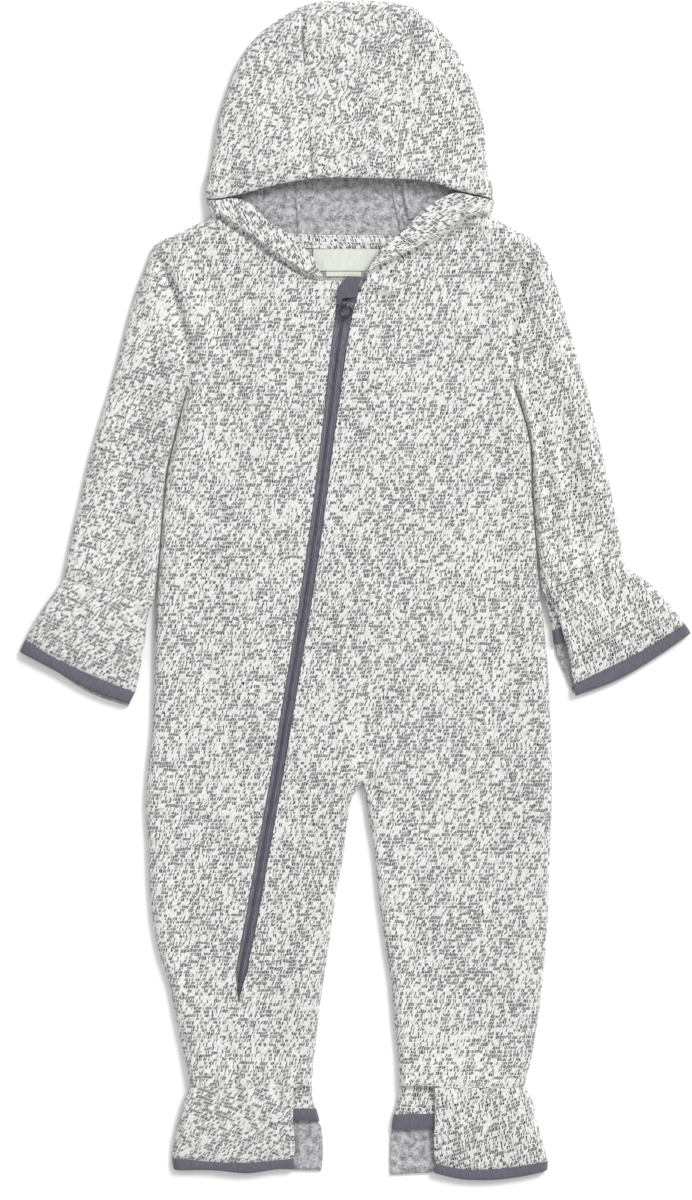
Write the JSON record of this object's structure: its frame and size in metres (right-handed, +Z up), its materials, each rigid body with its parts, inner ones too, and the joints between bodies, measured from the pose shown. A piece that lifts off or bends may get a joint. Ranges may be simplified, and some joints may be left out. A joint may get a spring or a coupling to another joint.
{
  "type": "baby snowsuit",
  "caption": "Hooded long-sleeved baby one-piece in knit-faced fleece, laid flat, with a slanted front zip and fold-over hand and foot covers.",
  "frame": {"origin": "middle of the footprint, on the surface that the garment lies on", "axes": "+Z up off the surface, +Y towards the hood, +X to the viewer's right as seen from above"},
  "size_m": [0.484, 0.85, 0.015],
  "materials": {
    "knit": "heathered light grey knit face, mottled grey fleece inside",
    "tape": "matt slate ribbed tape",
    "coil": "dark nylon coil",
    "enamel": "dark slate enamel",
    "label": "bare cream satin"
  },
  "bodies": {
    "garment": {"front": "knit", "back": "knit", "sleeve_left": "knit", "sleeve_right": "knit", "hood_center": "knit", "hood_side_left": "knit", "hood_side_right": "knit", "wrist_flap_left": "knit", "wrist_flap_right": "knit", "ankle_flap_left": "knit", "ankle_flap_right": "knit", "wrist_cover_binding_left": "tape", "wrist_cover_binding_right": "tape", "ankle_cover_binding_left": "tape", "ankle_cover_binding_right": "tape", "wrist_binding_right": "tape", "ankle_binding_left": "tape", "ankle_binding_right": "tape", "zip_tape_left": "tape", "zip_tape_right": "tape", "zip_coil": "coil", "zip_garage": "tape", "zip_slider": "enamel", "neck_tape": "knit", "neck_label": "label", "label_tab": "label"},
    "pull": {"zip_pull": "enamel"}
  },
  "joints": [
    {"name": "pull_swing", "type": "hinge", "parent": "garment", "child": "pull", "pos_m": [-0.00554, 0.20471, 0.0085], "axis": [-0.978, 0.2085, 0], "range_deg": [0, 160]}
  ]
}
